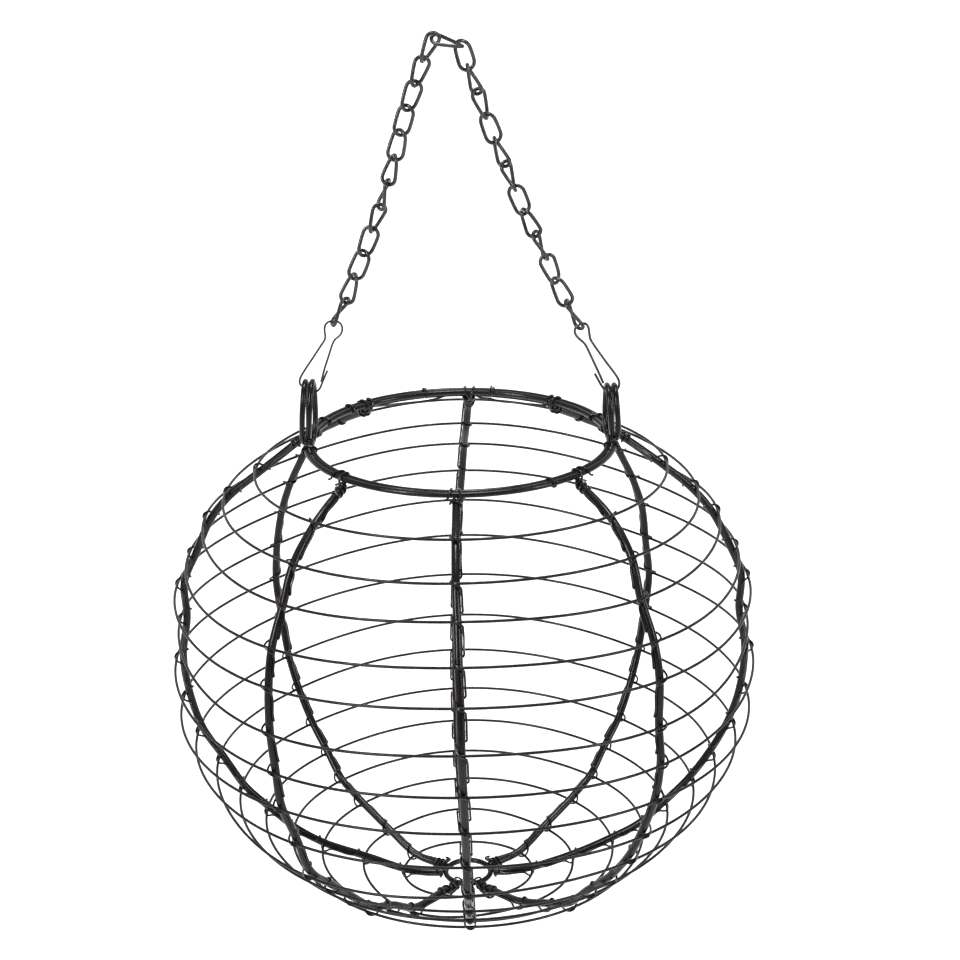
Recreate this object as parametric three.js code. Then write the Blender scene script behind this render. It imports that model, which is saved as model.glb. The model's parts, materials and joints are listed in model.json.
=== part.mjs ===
// A wire hanging basket: sixteen thin hoops outside eight rods, a double rim with two standing eyes,
// two snap hooks, and one chain whose middle link is the hanging point.
// Millimetres, +Z up. The origin is inside the apex link, where the basket hangs.
// +X points from the left eye to the right eye, and -Y is the front.
import * as THREE from "three";

// ---- wire diameters ----
const CHAIN_WIRE = 1.9;
const LEFT_HOOK_WIRE = 1.1;
const RIGHT_HOOK_WIRE = 1.3;
const RIM_ROD = 2.85;
const RING_WIRE = 1.45;
const RIB_ROD = 4.1;
const HUB_ROD = 2.9;
const GAP = 0.3; // clearance between pieces that touch
const LINK_PLAY = 0.5; // clearance where two links bear on each other

// ---- chain: twisted oval links ----
const LINK_WIDTH = 7.4; // across the wire's centre-line
const LINK_TWIST = 56; // turn of a link from its top arc to its bottom arc, degrees
const APEX_LINK_LENGTH = 15.1; // along the wire's centre-line
// Points where neighbouring links bear on each other, [x, z] in the plane y = 0, from the apex link to the hook.
const LEFT_BEARING = [
  [-6.23, -0.16], [-11.61, -11.32], [-15.62, -22.79], [-19.72, -34.43], [-23.29, -46.19],
  [-26.47, -58.3], [-30.08, -70.15], [-33.82, -82.26], [-38.15, -93.59], [-42.44, -105.43],
  [-47.46, -117.07], [-52.11, -129.04], [-58.6, -140.45],
];
const RIGHT_BEARING = [
  [6.24, -3.92], [9.4, -15.36], [13.54, -26.96], [17.51, -38.66], [21.75, -50.4],
  [26.34, -62.18], [30.78, -74], [35.5, -85.56], [40.68, -97.05], [45.65, -108.73],
  [50.56, -120.34], [56, -132], [62.35, -144.3],
];
// Turn of each link about its own length, degrees, from the apex link to the hook; 0 lies in the plane y = 0.
const LEFT_TURN = [-48, -34, -15, 2, 20, 48, 84, 132, 168, 190, 224, 280];
const RIGHT_TURN = [5, 62, 125, 185, 236, 290, 349, 396, 454, 507, 560, 618];
const APEX_TURN = 103;
const APEX_TWIST = 40;
const APEX_SHIFT = [-0.2, 0.55, -0.34]; // the apex link's seat between the two links it carries

// ---- snap hooks: one bent wire each, [x, z] from one end of the wire to the other ----
const LEFT_HOOK = [
  [-65.82, -170.75], [-65.02, -167.99], [-64.28, -165.38], [-63.54, -163.04], [-61.99, -158.63],
  [-60.33, -153.72], [-59.23, -150.78], [-58.08, -148.99], [-56.05, -147.31], [-54.76, -145.47],
  [-54.39, -143.47], [-54.86, -141.45], [-56.23, -140.09], [-58.18, -139.55], [-60.39, -139.72],
  [-62.1, -140.72], [-63, -142.56], [-63.1, -145.14], [-62.9, -147.47], [-63.36, -149.37],
  [-65.19, -152.09], [-68.08, -156.46], [-71.23, -161.1], [-73.86, -164.97], [-75.72, -168.08],
  [-76.51, -170.43], [-76.11, -172.54], [-74.52, -173.32], [-72.28, -174.46], [-70.09, -175.54],
  [-68.16, -175.92], [-66.61, -174.42], [-65.58, -172.17], [-64.6, -169.88], [-63.62, -167.69],
  [-62.65, -165.51],
];
const RIGHT_HOOK = [
  [74, -173.6], [72.64, -170.43], [70.84, -166.32], [67.84, -159.6], [65.6, -154.73],
  [64.36, -152.74], [62.39, -150.95], [60.51, -148.8], [59.77, -146.77], [60.16, -144.97],
  [61.83, -143.45], [63.84, -142.55], [65.56, -143.15], [66.6, -145.07], [66.96, -147.65],
  [67.41, -150.51], [68.8, -153.12], [72.28, -158.36], [75.77, -163.52], [78.77, -167.59],
  [80.77, -170.66], [81.78, -172.88], [81.85, -175.3], [81.1, -177], [79.6, -177.85],
  [77.9, -177.95], [75.9, -178], [74.2, -176.75], [72.52, -174.21], [71.16, -171.62],
  [69.81, -169.03],
];
const LATCH_OFFSET = 0.55; // the two lapped ends stand this far either side of the hook's plane

// ---- basket body: cylindrical coordinates about the vertical axis through AXIS_X ----
const AXIS_X = 2.65;
const RIM_Z = -202.7;
const RIM_RADIUS_X = 75.9; // between the two rim rods
const RIM_RADIUS_Y = 72.1;
const RIM_SPACING = 1.6; // each rod's distance from that circle
const EYE_WIDTH = 20; // front to back, between wire centres
const LEFT_EYE_HEIGHT = 31.6;
const RIGHT_EYE_HEIGHT = 27.4;
const EYE_PITCH = 3.5; // each eye is a coil of two turns, this far apart
const EYE_LIFT = 2.9; // the middle pass of the coil rides this far above the rim
const LEFT_EYE_SHIFT = 0.45; // the coil stands this far in from the rim
const RIGHT_EYE_SHIFT = 0.03;
const COMPANION_DIP = 3.55; // the second rim rod passes this far below the eyes
const COMPANION_DIP_REACH = 11;

// Ring wires from the shoulder to the base. Each radius and height is
// a0 + c1 cos t + s1 sin t + c2 cos 2t + s2 sin 2t + c3 cos 3t + s3 sin 3t + c4 cos 4t + s4 sin 4t.
const RING_RADIUS = [
  [102.968, 0.017, -0.384, 1.44, -0.124, -0.032, 0.977, -0.873, -0],
  [120.658, -0.009, -0.051, -0.373, -0.007, -0.207, 0.028, -0.704, 0],
  [130.399, -0.038, -0.475, 0.914, 0.262, -0.211, 0.651, -0.535, 0],
  [140.599, 0.211, -0.442, -0.067, 0.134, -0.095, -0.49, -0.366, -0],
  [146.589, 0.133, -0.592, 0.546, 0.109, -0.316, 0.298, -0.198, 0],
  [148.797, -0.455, -0.164, -2.476, -0.218, 0.164, 1.224, -0.029, 0],
  [150.079, 0.301, 0.123, -0.675, -0.504, -0.423, 1.03, 0.14, 0],
  [147.361, 0.036, -0.487, -0.176, -0.124, 0.034, -0.42, 0.309, -0],
  [140.101, -0.108, -0.102, 0.72, -0.175, 0.168, 0.142, 0.478, -0],
  [131.814, -0.238, -0.549, -1.111, 0.149, 0.276, 0.554, 0.647, -0],
  [119.23, 0.114, 0.129, 0.246, -0.054, 0.014, 0.316, 0.816, 0],
  [105.61, -0.122, -0.085, 0.369, 0.142, 0.075, 0.312, 0.985, 0],
  [92.499, 0.238, 0.038, 0.095, -0.25, 0.048, 0.298, 1.154, 0],
  [75.915, 0.138, -0.16, 0.535, -0.052, -0.178, -0.64, 1.323, -0],
  [54.974, -0.216, -0.202, -0.174, 0.25, 0.4, -0.517, 1.492, 0],
  [31.4, 0.032, 4.2, 3.1, 0, 0, 0, 0, 0],
];
const RING_Z = [
  [-216.342, 0.313, -2.018, -1.994, -0.216, 0.135, -1.446, 0.343, 0.022],
  [-229.265, 0.074, -0.031, -2.799, -0.16, -0.025, -1.407, 0.553, 0.215],
  [-245.076, -0.098, -0.246, -1.751, -0.085, -0.013, -0.595, 1.551, 0.072],
  [-263.223, 0.091, 0.157, -2.393, -0.229, 0.118, -0.824, 1.496, 0.042],
  [-280.999, 0.125, -0.194, -2.18, -0.202, -0.037, -0.811, 1.748, 0.068],
  [-302.01, 0.148, 0.878, -1.515, 0.308, 0.049, -0.235, 2.755, 0.238],
  [-323.086, 0.712, 0.444, -1.131, -0.435, 0.074, -0.659, 2.128, -0.016],
  [-344.629, 0.139, -0.308, -1.606, 0.023, -0.125, -0.158, 0.647, 0.058],
  [-366.94, 0.151, -0.553, -0.813, 0.149, 0.015, -0.769, 1.22, -0.01],
  [-385.226, 0.042, 0.359, -0.178, -0.294, -1.101, 0.185, 1.114, 1],
  [-402.322, 0.415, -0.438, 0.469, -0.271, 0.051, -0.122, 0.81, -0.105],
  [-415.718, 0.014, -0.372, 0.404, 0.116, -0.1, 0.148, 0.591, 0.089],
  [-428.148, 0.065, -0.192, 0.625, 0.049, 0.044, 0.725, 0.599, 0.015],
  [-436.545, 0.007, -0.428, 0.225, -0.012, 0.186, 1.099, 0.169, -0.043],
  [-445.885, 0.01, 0.392, 0.359, -0.193, -0.547, 1.117, 0.574, 0.321],
  [-453.2, 0, 0, 0, 0, 0, 0, 0, 0],
];

// Rods from the rim to the hub: the angle at which each crosses the sixteen ring wires, degrees.
const RIB_ANGLES = {
  right: [5, 4.5, 4, 3.5, 3, 2.5, 2, 1.8, 1.7, 1.5, 1.2, 0.8, 0.5, 0.2, -0.2, -0.5],
  back_right: [50.2, 48.9, 47.8, 47, 46.4, 45.9, 45.4, 44.9, 44.4, 43.6, 42.6, 41.4, 39.7, 37.7, 35.1, 32.1],
  back: [87.4, 88.2, 89, 89.7, 90.3, 90.9, 91.5, 92, 92.4, 92.8, 93.1, 93.3, 93.5, 93.6, 93.7, 93.6],
  back_left: [130.6, 132.2, 133.4, 134.2, 134.9, 135.3, 135.7, 136.1, 136.6, 137.2, 138.2, 139.5, 141.3, 143.6, 146.5, 150.2],
  left: [175, 175.5, 176, 176.5, 177, 177.5, 178, 178.2, 178.3, 178.5, 178.8, 179.2, 179.5, 179.8, 180.2, 180.5],
  front_left: [226.8, 228.4, 229.2, 230, 230.7, 231.3, 232, 232.7, 233.4, 234.2, 235.1, 236.1, 237.3, 238.6, 240.1, 241.9],
  front: [268.7, 268.9, 269.2, 269.4, 269.6, 269.7, 269.9, 270.1, 270.2, 270.3, 270.5, 270.6, 270.8, 270.9, 271.1, 271.2],
  front_right: [314.6, 312.4, 311.1, 310.3, 309.8, 309.4, 309.2, 309, 308.8, 308.3, 307.6, 306.5, 305, 302.9, 300.1, 296.7],
};
const RIB_TOP_RADIUS = 77.6; // the rods' upper ends pass under the rim
const RIB_TOP_Z = -206.7;
// Where the front rods meet the rim, when that is not in line with the rod below, degrees.
const RIB_TOP_ANGLES = { front_left: 221.6, front_right: 318.9 };
const SIDE_RIB_TOP_RADIUS = 80.2; // the two side rods stop outside the rim, beside the eyes
const SIDE_RIB_TOP_Z = -203.6;

const HUB_RADIUS = 12;
const HUB_Z = -452.6;

// ---- facets ----
const SIDES = 6;
const LINK_STEPS = 14;
const RING_STEPS_PER_BAY = 3;
const RIM_ARC_STEPS = 22;
const EYE_STEPS = 12;
const HUB_STEPS = 18;

const rad = THREE.MathUtils.degToRad;

// A centre-line given by its own points, so that a tube has a section exactly at each of them.
class Centreline extends THREE.Curve {
  constructor(points, closed = false) {
    super();
    this.points = points;
    this.closed = closed;
    this.steps = closed ? points.length : points.length - 1;
  }
  at(i) {
    const n = this.points.length;
    return this.closed
      ? this.points[((i % n) + n) % n]
      : this.points[Math.min(Math.max(i, 0), n - 1)];
  }
  getPoint(t) {
    return this.at(Math.round(t * this.steps)).clone();
  }
  getPointAt(u) {
    return this.getPoint(u);
  }
  getTangent(t) {
    const i = Math.round(t * this.steps);
    return this.at(i + 1).clone().sub(this.at(i - 1)).normalize();
  }
  getTangentAt(u) {
    return this.getTangent(u);
  }
}

// A wire bent back on itself with no ends.
function hoop(points, diameter) {
  const line = new Centreline(points, true);
  return new THREE.TubeGeometry(line, line.steps, diameter / 2, SIDES, true);
}

// A wire with two square-cut ends.
function rod(points, diameter) {
  const line = new Centreline(points);
  const section = new THREE.Shape();
  for (let i = 0; i < SIDES; i++) {
    const a = (i / SIDES) * 2 * Math.PI;
    const x = (diameter / 2) * Math.cos(a);
    const y = (diameter / 2) * Math.sin(a);
    if (i) section.lineTo(x, y);
    else section.moveTo(x, y);
  }
  section.closePath();
  return new THREE.ExtrudeGeometry(section, {
    steps: line.steps,
    extrudePath: line,
    bevelEnabled: false,
  });
}

const basket = new THREE.Group();

// Each piece is one named mesh with a material of its own.
function piece(name, geometry, color, roughness, metalness) {
  const mesh = new THREE.Mesh(
    geometry,
    new THREE.MeshStandardMaterial({ color, roughness, metalness }),
  );
  mesh.name = name;
  basket.add(mesh);
}

// ---- chain ----
const point = ([x, z]) => new THREE.Vector3(x, 0, z);
const Y = new THREE.Vector3(0, 1, 0);

// One oval link from its top arc's centre-line to its bottom arc's, twisted about its length.
function link(top, bottom, turn, twist = LINK_TWIST) {
  const along = bottom.clone().sub(top);
  const half = along.length() / 2;
  along.normalize();
  const centre = top.clone().add(bottom).multiplyScalar(0.5);
  const side = Y.clone().cross(along);
  const b = LINK_WIDTH / 2;
  const straight = half - b;
  const arcSteps = LINK_STEPS / 2 - 2;
  const outline = [];
  for (let i = 0; i <= arcSteps; i++) {
    const a = -Math.PI / 2 + (Math.PI * i) / arcSteps;
    outline.push([straight + b * Math.cos(a), b * Math.sin(a)]);
  }
  outline.push([0, b]);
  for (let i = 0; i <= arcSteps; i++) {
    const a = Math.PI / 2 + (Math.PI * i) / arcSteps;
    outline.push([-straight + b * Math.cos(a), b * Math.sin(a)]);
  }
  outline.push([0, -b]);
  return outline.map(([s, w]) => {
    const a = rad(turn - (twist / 2) * (s / half));
    return centre
      .clone()
      .addScaledVector(along, s)
      .addScaledVector(side, w * Math.cos(a))
      .addScaledVector(Y, w * Math.sin(a));
  });
}

const reach = (CHAIN_WIRE + LINK_PLAY) / 2; // from a bearing point to either wire's centre
function chain(name, bearing, turns) {
  for (let i = 0; i < turns.length; i++) {
    const from = point(bearing[i]);
    const to = point(bearing[i + 1]);
    const along = to.clone().sub(from).normalize();
    piece(
      "chain_link_" + name + "_" + (i + 1),
      hoop(
        link(
          from.clone().addScaledVector(along, -reach),
          to.clone().addScaledVector(along, reach),
          turns[i],
        ),
        CHAIN_WIRE,
      ),
      0x3a3a3c,
      0.38,
      0.85,
    );
  }
}

// The apex link lies across the tops of the first two links and hangs by its own hole.
const firstAlong = (b) => point(b[1]).sub(point(b[0])).normalize();
const apexLeft = point(LEFT_BEARING[0]).addScaledVector(firstAlong(LEFT_BEARING), reach);
const apexRight = point(RIGHT_BEARING[0]).addScaledVector(firstAlong(RIGHT_BEARING), reach);
const apexAlong = apexRight.clone().sub(apexLeft).normalize();
const apexCentre = apexLeft
  .clone()
  .add(apexRight)
  .multiplyScalar(0.5)
  .add(new THREE.Vector3(...APEX_SHIFT));
piece(
  "chain_link_apex",
  hoop(
    link(
      apexCentre.clone().addScaledVector(apexAlong, -APEX_LINK_LENGTH / 2),
      apexCentre.clone().addScaledVector(apexAlong, APEX_LINK_LENGTH / 2),
      APEX_TURN,
      APEX_TWIST,
    ),
    CHAIN_WIRE,
  ),
  0x3a3a3c,
  0.38,
  0.85,
);
chain("left", LEFT_BEARING, LEFT_TURN);
chain("right", RIGHT_BEARING, RIGHT_TURN);

// ---- snap hooks ----
// The wire leaves the plane only near its lapped ends.
function hook(outline) {
  const n = outline.length - 1;
  return outline.map(([x, z], i) => {
    const near = Math.max(0, 1 - Math.min(i, n - i) / 4);
    return new THREE.Vector3(x, (i < n / 2 ? -1 : 1) * LATCH_OFFSET * near, z);
  });
}
piece("left_snap_hook", rod(hook(LEFT_HOOK), LEFT_HOOK_WIRE), 0x3c3c3e, 0.35, 0.85);
piece("right_snap_hook", rod(hook(RIGHT_HOOK), RIGHT_HOOK_WIRE), 0x3c3c3e, 0.35, 0.85);

// ---- rim ----
const turnPoint = (angle, out, up) => {
  const c = Math.cos(angle);
  const s = Math.sin(angle);
  return new THREE.Vector3(
    AXIS_X + (RIM_RADIUS_X + out) * c,
    (RIM_RADIUS_Y + out) * s,
    RIM_Z + up,
  );
};
// The eye at one side: a standing coil of two turns that starts and ends on the rim, from the back to the front at the left.
function eye(side, height, shift) {
  const points = [];
  const n = 2 * EYE_STEPS;
  for (let i = 0; i <= n; i++) {
    const t = (i / n) * 4 * Math.PI;
    const coil = EYE_PITCH * (1 - t / (2 * Math.PI));
    const blend = Math.min(1, Math.sin(Math.min(t, 4 * Math.PI - t, Math.PI / 2)));
    const out =
      blend * coil + (1 - blend) * Math.sign(2 * Math.PI - t) * RIM_SPACING;
    const lean = (-0.35 - shift / 2) * (1 - Math.cos(t));
    const lift =
      Math.abs(t - 2 * Math.PI) < Math.PI / 2 ? EYE_LIFT * Math.cos(t) ** 2 : 0;
    points.push(
      new THREE.Vector3(
        AXIS_X + side * (RIM_RADIUS_X + out + lean),
        (-EYE_WIDTH / 2) * Math.sin(t),
        RIM_Z + (height / 2) * (1 - Math.cos(t)) + lift,
      ),
    );
  }
  return points;
}
const eyeReach = 0.075; // the rim's arcs start this far round from the eyes, radians
const arc = (from, to, out) => {
  const points = [];
  for (let i = 0; i <= RIM_ARC_STEPS; i++)
    points.push(turnPoint(from + ((to - from) * i) / RIM_ARC_STEPS, out, 0));
  return points;
};
piece(
  "rim_hoop",
  hoop(
    [
      ...arc(eyeReach, Math.PI - eyeReach, RIM_SPACING),
      ...eye(-1, LEFT_EYE_HEIGHT, LEFT_EYE_SHIFT),
      ...arc(Math.PI + eyeReach, 2 * Math.PI - eyeReach, -RIM_SPACING),
      ...eye(1, RIGHT_EYE_HEIGHT, RIGHT_EYE_SHIFT).reverse(),
    ],
    RIM_ROD,
  ),
  0x241f1d,
  0.4,
  0.7,
);
// The companion lies outside the rim hoop at the front and inside it at the back, and changes sides under the eyes.
{
  const points = [];
  const n = 2 * RIM_ARC_STEPS + 12;
  for (let i = 0; i < n; i++) {
    // steps crowd together towards the eyes, at 0 and pi
    const u = (i / n) * 2 * Math.PI;
    const a = u - 0.4 * Math.sin(2 * u);
    const y = RIM_RADIUS_Y * Math.sin(a);
    const near = Math.max(0, 1 - Math.abs(y) / COMPANION_DIP_REACH);
    const dip = near * near * (3 - 2 * near);
    const across = THREE.MathUtils.clamp(-y / 7, -1, 1);
    const out = RIM_SPACING * Math.sin((across * Math.PI) / 2);
    points.push(turnPoint(a, out, -COMPANION_DIP * dip));
  }
  piece("rim_companion_hoop", hoop(points, RIM_ROD), 0x241f1d, 0.4, 0.7);
}

// ---- rings and ribs ----
const wave = (c, a) =>
  c[0] +
  c[1] * Math.cos(a) +
  c[2] * Math.sin(a) +
  c[3] * Math.cos(2 * a) +
  c[4] * Math.sin(2 * a) +
  c[5] * Math.cos(3 * a) +
  c[6] * Math.sin(3 * a) +
  c[7] * Math.cos(4 * a) +
  c[8] * Math.sin(4 * a);
const onRing = (level, degrees) => {
  const a = rad(degrees);
  const r = wave(RING_RADIUS[level], a);
  return new THREE.Vector3(
    AXIS_X + r * Math.cos(a),
    r * Math.sin(a),
    wave(RING_Z[level], a),
  );
};
const levels = RING_RADIUS.length;
for (let level = 0; level < levels; level++) {
  const crossings = Object.values(RIB_ANGLES).map((r) => r[level]);
  const points = [];
  crossings.forEach((from, i) => {
    const to =
      i + 1 < crossings.length ? crossings[i + 1] : crossings[0] + 360;
    for (let j = 0; j < RING_STEPS_PER_BAY; j++)
      points.push(onRing(level, from + ((to - from) * j) / RING_STEPS_PER_BAY));
  });
  piece(
    "ring_wire_" + (level + 1),
    hoop(points, RING_WIRE),
    0x1f1c1b,
    0.45,
    0.7,
  );
}

const ribInset = (RING_WIRE + RIB_ROD) / 2 + GAP;
for (const [name, angles] of Object.entries(RIB_ANGLES)) {
  const outer = angles.map((a, level) => onRing(level, a));
  const points = outer.map((p, level) => {
    const along = outer[Math.min(level + 1, levels - 1)]
      .clone()
      .sub(outer[Math.max(level - 1, 0)]);
    const round = onRing(level, angles[level] + 2).sub(onRing(level, angles[level] - 2));
    // square to both wires, towards the inside of the basket
    const inward = along.cross(round).normalize();
    const toAxis = new THREE.Vector3(AXIS_X - p.x, -p.y, HUB_Z / 2 + RIM_Z / 2 - p.z);
    if (inward.dot(toAxis) < 0) inward.negate();
    return p.clone().addScaledVector(inward, ribInset);
  });
  const side = name === "left" || name === "right";
  const top = rad(
    RIB_TOP_ANGLES[name] ?? angles[0] + (angles[0] - angles[1]) * 0.5,
  );
  const topRadius = side
    ? SIDE_RIB_TOP_RADIUS
    : RIB_TOP_RADIUS - (RIM_RADIUS_X - RIM_RADIUS_Y) * Math.abs(Math.sin(top));
  const topZ = side ? SIDE_RIB_TOP_Z : RIB_TOP_Z;
  points.unshift(
    new THREE.Vector3(
      AXIS_X + topRadius * Math.cos(top),
      topRadius * Math.sin(top),
      topZ,
    ),
  );
  // the lower end butts against the hub
  const last = points[points.length - 1];
  const foot = Math.atan2(last.y, last.x - AXIS_X);
  const footRadius = HUB_RADIUS + HUB_ROD / 2 + GAP + 0.1;
  points.push(
    new THREE.Vector3(
      AXIS_X + (footRadius + 8) * Math.cos(foot),
      (footRadius + 8) * Math.sin(foot),
      HUB_Z + 0.1,
    ),
    new THREE.Vector3(
      AXIS_X + footRadius * Math.cos(foot),
      footRadius * Math.sin(foot),
      HUB_Z,
    ),
  );
  piece("rib_" + name, rod(points, RIB_ROD), 0x262120, 0.4, 0.7);
}

// ---- hub ----
{
  const points = [];
  for (let i = 0; i < HUB_STEPS; i++) {
    const a = (i / HUB_STEPS) * 2 * Math.PI;
    points.push(
      new THREE.Vector3(
        AXIS_X + HUB_RADIUS * Math.cos(a),
        HUB_RADIUS * Math.sin(a),
        HUB_Z,
      ),
    );
  }
  piece("hub_ring", hoop(points, HUB_ROD), 0x262120, 0.4, 0.7);
}

export default basket;
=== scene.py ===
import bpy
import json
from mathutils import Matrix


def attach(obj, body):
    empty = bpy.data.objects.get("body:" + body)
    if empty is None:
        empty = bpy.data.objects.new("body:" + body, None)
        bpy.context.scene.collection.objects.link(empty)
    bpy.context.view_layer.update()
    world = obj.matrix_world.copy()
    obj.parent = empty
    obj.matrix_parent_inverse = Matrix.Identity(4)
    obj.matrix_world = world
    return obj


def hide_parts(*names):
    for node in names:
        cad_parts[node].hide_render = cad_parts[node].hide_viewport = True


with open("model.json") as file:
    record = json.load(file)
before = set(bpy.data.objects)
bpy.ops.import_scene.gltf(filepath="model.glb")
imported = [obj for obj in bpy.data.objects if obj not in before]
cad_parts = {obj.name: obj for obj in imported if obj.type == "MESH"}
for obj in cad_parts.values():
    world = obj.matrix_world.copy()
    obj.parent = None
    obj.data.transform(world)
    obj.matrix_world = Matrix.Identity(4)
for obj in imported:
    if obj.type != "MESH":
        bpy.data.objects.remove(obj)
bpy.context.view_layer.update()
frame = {"record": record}

import json
import math

import bmesh
import bpy
import numpy as np
from mathutils import Matrix

# ---------------------------------------------------------------- studio
WORLD_FRONT, WORLD_BACK = 0.14, 0.5
# painted light: the floor's own glow (emission strength), under the object and from two metres back
FLOOR_GLOW_NEAR, FLOOR_GLOW_FAR = 0.5, 1.0
LIGHTS = [
    ("key_box", (-1.5, -1.6, 1.1), (0, 0, -0.25), (0.32, 1.1), 40),
    ("fill_box", (1.9, -1.2, 0.6), (0, 0, -0.25), (0.26, 1.1), 20),
    ("top_box", (0.1, 0.1, 1.6), (0, 0, -0.25), (0.5, 0.5), 20),
    ("sweep_light", (0, 5.0, 2.5), (0, 5.2, -1.35), (5.0, 3.0), 50),
]

# Everything below is worked out in millimetres in the part's own frame and scaled to metres when a mesh is made.
MM = 0.001

# ---------------------------------------------------------------- dimensions, the same as the CAD source's
CHAIN_WIRE, LEFT_HOOK_WIRE, RIGHT_HOOK_WIRE = 1.9, 1.1, 1.3
RIM_ROD, RING_WIRE, RIB_ROD, HUB_ROD = 2.85, 1.45, 4.1, 2.9
LASH = 1.1  # the thin tying wire
GAP, LINK_PLAY = 0.3, 0.5
LINK_WIDTH, LINK_TWIST, APEX_LINK_LENGTH, APEX_TURN, APEX_TWIST = 7.4, 56, 15.1, 103, 40
APEX_SHIFT = (-0.2, 0.55, -0.34)
LATCH_OFFSET = 0.55
AXIS_X = 2.65
RIM_Z, RIM_RADIUS_X, RIM_RADIUS_Y, RIM_SPACING = -202.7, 75.9, 72.1, 1.6
EYE_WIDTH, LEFT_EYE_HEIGHT, RIGHT_EYE_HEIGHT = 20, 31.6, 27.4
EYE_PITCH, EYE_LIFT, LEFT_EYE_SHIFT, RIGHT_EYE_SHIFT = 3.5, 2.9, 0.45, 0.03
COMPANION_DIP, COMPANION_DIP_REACH = 3.55, 11
RIB_TOP_RADIUS, RIB_TOP_Z, SIDE_RIB_TOP_RADIUS, SIDE_RIB_TOP_Z = 77.6, -206.7, 80.2, -203.6
HUB_RADIUS, HUB_Z = 12, -452.6
RIB_TOP_ANGLES = {"front_left": 221.6, "front_right": 318.9}
LEFT_BEARING = [
    [-6.23, -0.16], [-11.61, -11.32], [-15.62, -22.79], [-19.72, -34.43], [-23.29, -46.19], [-26.47, -58.3], [-30.08, -70.15], [-33.82, -82.26],
    [-38.15, -93.59], [-42.44, -105.43], [-47.46, -117.07], [-52.11, -129.04], [-58.6, -140.45],
]
RIGHT_BEARING = [
    [6.24, -3.92], [9.4, -15.36], [13.54, -26.96], [17.51, -38.66], [21.75, -50.4], [26.34, -62.18], [30.78, -74], [35.5, -85.56], [40.68, -97.05],
    [45.65, -108.73], [50.56, -120.34], [56, -132], [62.35, -144.3],
]
LEFT_TURN = [
    -48, -34, -15, 2, 20, 48, 84, 132, 168, 190, 224, 280,
]
RIGHT_TURN = [
    5, 62, 125, 185, 236, 290, 349, 396, 454, 507, 560, 618,
]
LEFT_HOOK = [
    [-65.82, -170.75], [-65.02, -167.99], [-64.28, -165.38], [-63.54, -163.04], [-61.99, -158.63], [-60.33, -153.72], [-59.23, -150.78],
    [-58.08, -148.99], [-56.05, -147.31], [-54.76, -145.47], [-54.39, -143.47], [-54.86, -141.45], [-56.23, -140.09], [-58.18, -139.55],
    [-60.39, -139.72], [-62.1, -140.72], [-63, -142.56], [-63.1, -145.14], [-62.9, -147.47], [-63.36, -149.37], [-65.19, -152.09], [-68.08, -156.46],
    [-71.23, -161.1], [-73.86, -164.97], [-75.72, -168.08], [-76.51, -170.43], [-76.11, -172.54], [-74.52, -173.32], [-72.28, -174.46],
    [-70.09, -175.54], [-68.16, -175.92], [-66.61, -174.42], [-65.58, -172.17], [-64.6, -169.88], [-63.62, -167.69], [-62.65, -165.51],
]
RIGHT_HOOK = [
    [74, -173.6], [72.64, -170.43], [70.84, -166.32], [67.84, -159.6], [65.6, -154.73], [64.36, -152.74], [62.39, -150.95], [60.51, -148.8],
    [59.77, -146.77], [60.16, -144.97], [61.83, -143.45], [63.84, -142.55], [65.56, -143.15], [66.6, -145.07], [66.96, -147.65], [67.41, -150.51],
    [68.8, -153.12], [72.28, -158.36], [75.77, -163.52], [78.77, -167.59], [80.77, -170.66], [81.78, -172.88], [81.85, -175.3], [81.1, -177],
    [79.6, -177.85], [77.9, -177.95], [75.9, -178], [74.2, -176.75], [72.52, -174.21], [71.16, -171.62], [69.81, -169.03],
]
RING_RADIUS = [
    [102.968, 0.017, -0.384, 1.44, -0.124, -0.032, 0.977, -0.873, 0], [120.658, -0.009, -0.051, -0.373, -0.007, -0.207, 0.028, -0.704, 0],
    [130.399, -0.038, -0.475, 0.914, 0.262, -0.211, 0.651, -0.535, 0], [140.599, 0.211, -0.442, -0.067, 0.134, -0.095, -0.49, -0.366, 0],
    [146.589, 0.133, -0.592, 0.546, 0.109, -0.316, 0.298, -0.198, 0], [148.797, -0.455, -0.164, -2.476, -0.218, 0.164, 1.224, -0.029, 0],
    [150.079, 0.301, 0.123, -0.675, -0.504, -0.423, 1.03, 0.14, 0], [147.361, 0.036, -0.487, -0.176, -0.124, 0.034, -0.42, 0.309, 0],
    [140.101, -0.108, -0.102, 0.72, -0.175, 0.168, 0.142, 0.478, 0], [131.814, -0.238, -0.549, -1.111, 0.149, 0.276, 0.554, 0.647, 0],
    [119.23, 0.114, 0.129, 0.246, -0.054, 0.014, 0.316, 0.816, 0], [105.61, -0.122, -0.085, 0.369, 0.142, 0.075, 0.312, 0.985, 0],
    [92.499, 0.238, 0.038, 0.095, -0.25, 0.048, 0.298, 1.154, 0], [75.915, 0.138, -0.16, 0.535, -0.052, -0.178, -0.64, 1.323, 0],
    [54.974, -0.216, -0.202, -0.174, 0.25, 0.4, -0.517, 1.492, 0], [31.4, 0.032, 4.2, 3.1, 0, 0, 0, 0, 0],
]
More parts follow.
